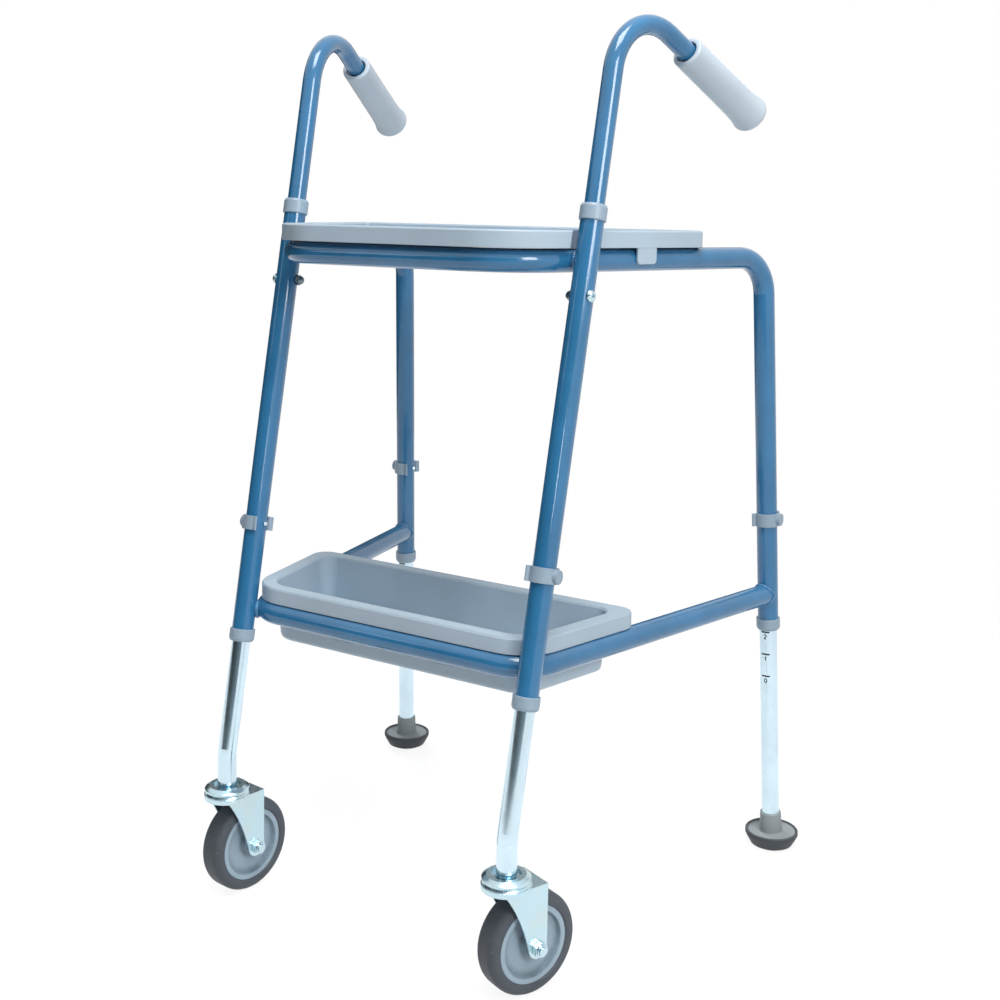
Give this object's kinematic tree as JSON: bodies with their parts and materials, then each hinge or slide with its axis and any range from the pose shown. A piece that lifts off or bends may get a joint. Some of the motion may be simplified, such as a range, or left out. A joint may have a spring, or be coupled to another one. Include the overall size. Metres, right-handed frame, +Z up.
{
  "type": "indoor walker with tray",
  "caption": "Walking frame on swivel casters and rubber feet, with curved push handles, a lift-off tray, a lift-out basket and height-adjustable legs.",
  "frame": {"origin": "floor level, under the middle of the object's box", "axes": "+Z up; front (casters) towards -Y, handles towards +Y; +X is the object's right side seen from behind the handles"},
  "size_m": [0.5646, 0.4808, 0.8867],
  "materials": {
    "blue_paint": "gloss powder coat",
    "grip": "soft satin",
    "grey_plastic": "satin moulded",
    "chrome": "polished plate",
    "steel": "bright zinc plate",
    "zinc": "blue zinc plate",
    "hub": "satin moulded",
    "tyre": "matte grey rubber",
    "foot_rubber": "matte rubber"
  },
  "bodies": {
    "frame": {"upper_rail": "blue_paint", "lower_rail": "blue_paint", "front_leg_right": "blue_paint", "front_leg_left": "blue_paint", "handle_tube_right": "blue_paint", "handle_tube_left": "blue_paint", "handle_grip_right": "grip", "handle_grip_left": "grip", "handle_collar_right": "grey_plastic", "handle_collar_left": "grey_plastic", "handle_bolts": "steel", "handle_nuts": "steel", "front_collar_right": "grey_plastic", "front_collar_left": "grey_plastic", "rear_collar_right": "grey_plastic", "rear_collar_left": "grey_plastic"},
    "front_leg_lower_right": {"front_inner_tube_right": "chrome", "caster_stem_right": "zinc"},
    "caster_right": {"caster_fork_right": "zinc", "race_balls_right": "steel", "axle_bolt_right": "steel", "axle_nut_right": "steel", "wheel_bush_right": "steel"},
    "wheel_right": {"wheel_hub_right": "hub", "wheel_tyre_right": "tyre"},
    "rear_leg_lower_right": {"rear_inner_tube_right": "chrome", "foot_right": "foot_rubber", "foot_washer_right": "steel"},
    "front_clip_right": {"front_clip_band_right": "grey_plastic", "front_clip_pin_right": "steel"},
    "rear_clip_right": {"rear_clip_band_right": "grey_plastic", "rear_clip_pin_right": "steel"},
    "front_leg_lower_left": {"front_inner_tube_left": "chrome", "caster_stem_left": "zinc"},
    "caster_left": {"caster_fork_left": "zinc", "race_balls_left": "steel", "axle_bolt_left": "steel", "axle_nut_left": "steel", "wheel_bush_left": "steel"},
    "wheel_left": {"wheel_hub_left": "hub", "wheel_tyre_left": "tyre"},
    "rear_leg_lower_left": {"rear_inner_tube_left": "chrome", "foot_left": "foot_rubber", "foot_washer_left": "steel"},
    "front_clip_left": {"front_clip_band_left": "grey_plastic", "front_clip_pin_left": "steel"},
    "rear_clip_left": {"rear_clip_band_left": "grey_plastic", "rear_clip_pin_left": "steel"},
    "tray": {"tray": "grey_plastic"},
    "basket": {"basket": "grey_plastic"}
  },
  "joints": [
    {"name": "front_leg_height_right", "type": "slide", "parent": "frame", "child": "front_leg_lower_right", "axis": [-0.0154, -0.2011, -0.9795], "range_m": [-0.05, 0.1]},
    {"name": "rear_leg_height_right", "type": "slide", "parent": "frame", "child": "rear_leg_lower_right", "axis": [0.0287, 0.0645, -0.9975], "range_m": [-0.05, 0.1]},
    {"name": "caster_swivel_right", "type": "hinge", "parent": "front_leg_lower_right", "child": "caster_right", "pos_m": [0.16794, -0.21497, 0.095], "axis": [0, 0, 1], "continuous": true},
    {"name": "wheel_spin_right", "type": "hinge", "parent": "caster_right", "child": "wheel_right", "pos_m": [0.17656, -0.19365, 0.0475], "axis": [0.9272, -0.3746, 0], "continuous": true},
    {"name": "front_clip_pull_right", "type": "slide", "parent": "frame", "child": "front_clip_right", "axis": [0.9999, 0, -0.0157], "range_m": [0, 0.035], "deforming": ["front_clip_band_right"]},
    {"name": "rear_clip_pull_right", "type": "slide", "parent": "frame", "child": "rear_clip_right", "axis": [0.9996, 0, 0.0288], "range_m": [0, 0.035], "deforming": ["rear_clip_band_right"]},
    {"name": "front_leg_height_left", "type": "slide", "parent": "frame", "child": "front_leg_lower_left", "axis": [0.0154, -0.2011, -0.9795], "range_m": [-0.05, 0.1]},
    {"name": "rear_leg_height_left", "type": "slide", "parent": "frame", "child": "rear_leg_lower_left", "axis": [-0.0287, 0.0645, -0.9975], "range_m": [-0.05, 0.1]},
    {"name": "caster_swivel_left", "type": "hinge", "parent": "front_leg_lower_left", "child": "caster_left", "pos_m": [-0.16794, -0.21497, 0.095], "axis": [0, 0, 1], "continuous": true},
    {"name": "wheel_spin_left", "type": "hinge", "parent": "caster_left", "child": "wheel_left", "pos_m": [-0.16514, -0.19214, 0.0475], "axis": [0.9925, -0.1219, 0], "continuous": true},
    {"name": "front_clip_pull_left", "type": "slide", "parent": "frame", "child": "front_clip_left", "axis": [-0.9999, 0, -0.0157], "range_m": [0, 0.035], "deforming": ["front_clip_band_left"]},
    {"name": "rear_clip_pull_left", "type": "slide", "parent": "frame", "child": "rear_clip_left", "axis": [-0.9996, 0, 0.0288], "range_m": [0, 0.035], "deforming": ["rear_clip_band_left"]},
    {"name": "tray_lift", "type": "slide", "parent": "frame", "child": "tray", "axis": [0, 0.2011, 0.9796], "range_m": [0, 0.09]},
    {"name": "basket_lift", "type": "slide", "parent": "frame", "child": "basket", "axis": [0, 0.2011, 0.9796], "range_m": [0, 0.12]}
  ]
}
